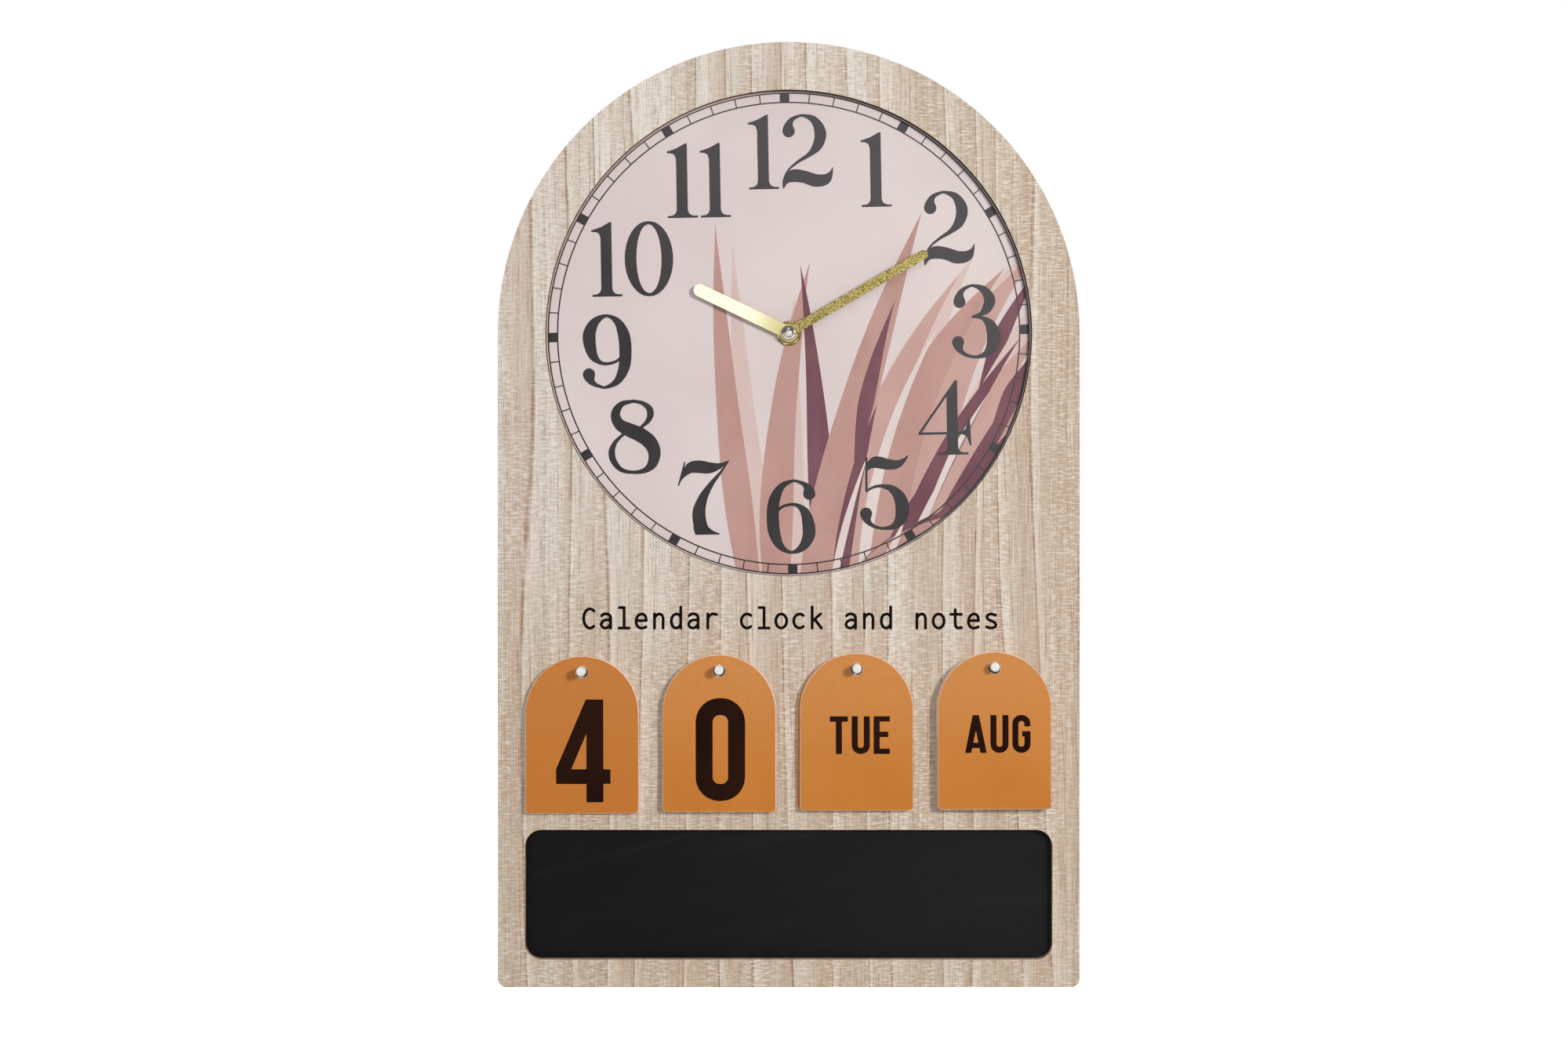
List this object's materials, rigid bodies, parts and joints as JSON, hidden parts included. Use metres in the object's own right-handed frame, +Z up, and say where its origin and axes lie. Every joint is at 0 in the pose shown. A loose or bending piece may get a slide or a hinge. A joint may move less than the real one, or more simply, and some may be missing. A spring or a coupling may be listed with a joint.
{
  "type": "wall clock with calendar cards",
  "caption": "Arch-topped wooden wall clock with a recessed printed dial, hang-on calendar cards on pegs and a small recessed chalkboard.",
  "frame": {"origin": "centre of the hook hole in the steel hanger, in the middle of its sheet", "axes": "+Z up, the dial faces -Y, +X to the viewer's right"},
  "size_m": [0.3, 0.044, 0.4874],
  "materials": {
    "fibreboard": "raw medium-density fibreboard, cut edges slightly darker",
    "veneer": "pale open-grained wood veneer, matt lacquer",
    "dial_sheet": "printed satin sheet",
    "chalkboard": "matt black chalkboard paint on hardboard",
    "white_wood": "white painted dowel",
    "card": "thin board faced with orange printed paper, pale core at the rims",
    "steel": "bright sheet steel",
    "polished_steel": "nickel plated, polished",
    "black_rubber": "matt",
    "brass": "satin brushed",
    "case_plastic": "fine moulded texture",
    "frame_plastic": "natural moulded plastic",
    "wheel_plastic": "smooth moulded acetal",
    "magnet": "sintered ferrite",
    "copper": "enamelled copper wire",
    "circuit": "green solder mask",
    "battery_sleeve": "plain dark printed sleeve with a pale end band"
  },
  "bodies": {
    "board": {"back_panel": "fibreboard", "front_panel": "fibreboard", "wood_veneer": "veneer", "dial": "dial_sheet", "chalkboard": "chalkboard", "card_pegs": "white_wood", "hanger": "steel", "rubber_washer": "black_rubber", "brass_washer": "brass", "hex_nut": "brass", "wall_bumpers": "black_rubber", "movement_case": "case_plastic", "middle_plate": "frame_plastic", "train_bridge": "frame_plastic", "rear_cover": "case_plastic", "stator": "steel", "coil_bobbin": "frame_plastic", "coil_winding": "copper", "circuit_board": "circuit", "quartz_crystal": "polished_steel", "contact_positive": "steel", "contact_negative": "steel"},
    "minute": {"minute_pipe": "brass", "minute_hand": "brass", "cap_nut": "polished_steel"},
    "hour": {"hour_wheel": "wheel_plastic", "hour_hand": "brass"},
    "motion": {"motion_wheel": "wheel_plastic"},
    "knob": {"setting_knob": "wheel_plastic"},
    "centre": {"centre_wheel": "wheel_plastic"},
    "third": {"third_wheel": "wheel_plastic"},
    "seconds": {"seconds_wheel": "wheel_plastic"},
    "fifth": {"fifth_wheel": "wheel_plastic"},
    "rotor": {"rotor_pinion": "wheel_plastic", "rotor_magnet": "magnet"},
    "battery": {"battery": "battery_sleeve"},
    "tens_card_1": {"tens_card_1": "card"},
    "tens_card_2": {"tens_card_2": "card"},
    "tens_card_3": {"tens_card_3": "card"},
    "units_card_1": {"units_card_1": "card"},
    "units_card_2": {"units_card_2": "card"},
    "units_card_3": {"units_card_3": "card"},
    "units_card_4": {"units_card_4": "card"},
    "weekday_card_1": {"weekday_card_1": "card"},
    "weekday_card_2": {"weekday_card_2": "card"},
    "weekday_card_3": {"weekday_card_3": "card"},
    "weekday_card_4": {"weekday_card_4": "card"},
    "month_card_1": {"month_card_1": "card"},
    "month_card_2": {"month_card_2": "card"},
    "month_card_3": {"month_card_3": "card"},
    "month_card_4": {"month_card_4": "card"},
    "month_card_5": {"month_card_5": "card"},
    "month_card_6": {"month_card_6": "card"}
  },
  "joints": [
    {"name": "minute_turn", "type": "hinge", "parent": "board", "child": "minute", "pos_m": [0, -0.0125, -0.038], "axis": [0, 1, 0], "continuous": true},
    {"name": "hour_turn", "type": "hinge", "parent": "board", "child": "hour", "pos_m": [0, -0.0125, -0.038], "axis": [0, 1, 0], "continuous": true},
    {"name": "motion_turn", "type": "hinge", "parent": "board", "child": "motion", "pos_m": [0.009, -0.0125, -0.038], "axis": [0, 1, 0], "continuous": true},
    {"name": "knob_turn", "type": "hinge", "parent": "board", "child": "knob", "pos_m": [0.01746, -0.0125, -0.04108], "axis": [0, 1, 0], "continuous": true},
    {"name": "seconds_turn", "type": "hinge", "parent": "board", "child": "seconds", "pos_m": [0, -0.0125, -0.038], "axis": [0, 1, 0], "continuous": true},
    {"name": "third_turn", "type": "hinge", "parent": "board", "child": "third", "pos_m": [0.00721, -0.0125, -0.03079], "axis": [0, 1, 0], "continuous": true},
    {"name": "centre_turn", "type": "hinge", "parent": "board", "child": "centre", "pos_m": [0, -0.0125, -0.038], "axis": [0, 1, 0], "continuous": true},
    {"name": "fifth_turn", "type": "hinge", "parent": "board", "child": "fifth", "pos_m": [-0.00909, -0.0125, -0.03275], "axis": [0, 1, 0], "continuous": true},
    {"name": "rotor_turn", "type": "hinge", "parent": "board", "child": "rotor", "pos_m": [-0.01097, -0.0125, -0.02211], "axis": [0, 1, 0], "continuous": true},
    {"name": "battery_out", "type": "slide", "parent": "board", "child": "battery", "axis": [0, 1, 0], "range_m": [0, 0.02]},
    {"name": "tens_stack_off", "type": "slide", "parent": "board", "child": "tens_card_1", "axis": [0, -1, 0], "range_m": [0, 0.02]},
    {"name": "tens_swing_2", "type": "hinge", "parent": "tens_card_1", "child": "tens_card_2", "pos_m": [-0.1063, -0.0235, -0.2121], "axis": [0, 1, 0], "range_deg": [-8, 8]},
    {"name": "tens_swing_3", "type": "hinge", "parent": "tens_card_1", "child": "tens_card_3", "pos_m": [-0.1063, -0.0235, -0.2121], "axis": [0, 1, 0], "range_deg": [-8, 8]},
    {"name": "units_stack_off", "type": "slide", "parent": "board", "child": "units_card_1", "axis": [0, -1, 0], "range_m": [0, 0.02]},
    {"name": "units_swing_2", "type": "hinge", "parent": "units_card_1", "child": "units_card_2", "pos_m": [-0.0357, -0.0235, -0.2113], "axis": [0, 1, 0], "range_deg": [-8, 8]},
    {"name": "units_swing_3", "type": "hinge", "parent": "units_card_1", "child": "units_card_3", "pos_m": [-0.0357, -0.0235, -0.2113], "axis": [0, 1, 0], "range_deg": [-8, 8]},
    {"name": "units_swing_4", "type": "hinge", "parent": "units_card_1", "child": "units_card_4", "pos_m": [-0.0357, -0.0235, -0.2113], "axis": [0, 1, 0], "range_deg": [-8, 8]},
    {"name": "weekday_stack_off", "type": "slide", "parent": "board", "child": "weekday_card_1", "axis": [0, -1, 0], "range_m": [0, 0.02]},
    {"name": "weekday_swing_2", "type": "hinge", "parent": "weekday_card_1", "child": "weekday_card_2", "pos_m": [0.0349, -0.0235, -0.2105], "axis": [0, 1, 0], "range_deg": [-8, 8]},
    {"name": "weekday_swing_3", "type": "hinge", "parent": "weekday_card_1", "child": "weekday_card_3", "pos_m": [0.0349, -0.0235, -0.2105], "axis": [0, 1, 0], "range_deg": [-8, 8]},
    {"name": "weekday_swing_4", "type": "hinge", "parent": "weekday_card_1", "child": "weekday_card_4", "pos_m": [0.0349, -0.0235, -0.2105], "axis": [0, 1, 0], "range_deg": [-8, 8]},
    {"name": "month_stack_off", "type": "slide", "parent": "board", "child": "month_card_1", "axis": [0, -1, 0], "range_m": [0, 0.02]},
    {"name": "month_swing_2", "type": "hinge", "parent": "month_card_1", "child": "month_card_2", "pos_m": [0.1055, -0.0235, -0.2097], "axis": [0, 1, 0], "range_deg": [-8, 8]},
    {"name": "month_swing_3", "type": "hinge", "parent": "month_card_1", "child": "month_card_3", "pos_m": [0.1055, -0.0235, -0.2097], "axis": [0, 1, 0], "range_deg": [-8, 8]},
    {"name": "month_swing_4", "type": "hinge", "parent": "month_card_1", "child": "month_card_4", "pos_m": [0.1055, -0.0235, -0.2097], "axis": [0, 1, 0], "range_deg": [-8, 8]},
    {"name": "month_swing_5", "type": "hinge", "parent": "month_card_1", "child": "month_card_5", "pos_m": [0.1055, -0.0235, -0.2097], "axis": [0, 1, 0], "range_deg": [-8, 8]},
    {"name": "month_swing_6", "type": "hinge", "parent": "month_card_1", "child": "month_card_6", "pos_m": [0.1055, -0.0235, -0.2097], "axis": [0, 1, 0], "range_deg": [-8, 8]}
  ],
  "couplings": [
    {"joint": "hour_turn", "follows": "minute_turn", "ratio": 0.083333},
    {"joint": "motion_turn", "follows": "minute_turn", "ratio": -0.33333},
    {"joint": "knob_turn", "follows": "minute_turn", "ratio": 1},
    {"joint": "third_turn", "follows": "seconds_turn", "ratio": -0.13333},
    {"joint": "centre_turn", "follows": "seconds_turn", "ratio": 0.016667},
    {"joint": "fifth_turn", "follows": "seconds_turn", "ratio": -6},
    {"joint": "rotor_turn", "follows": "seconds_turn", "ratio": 30}
  ]
}
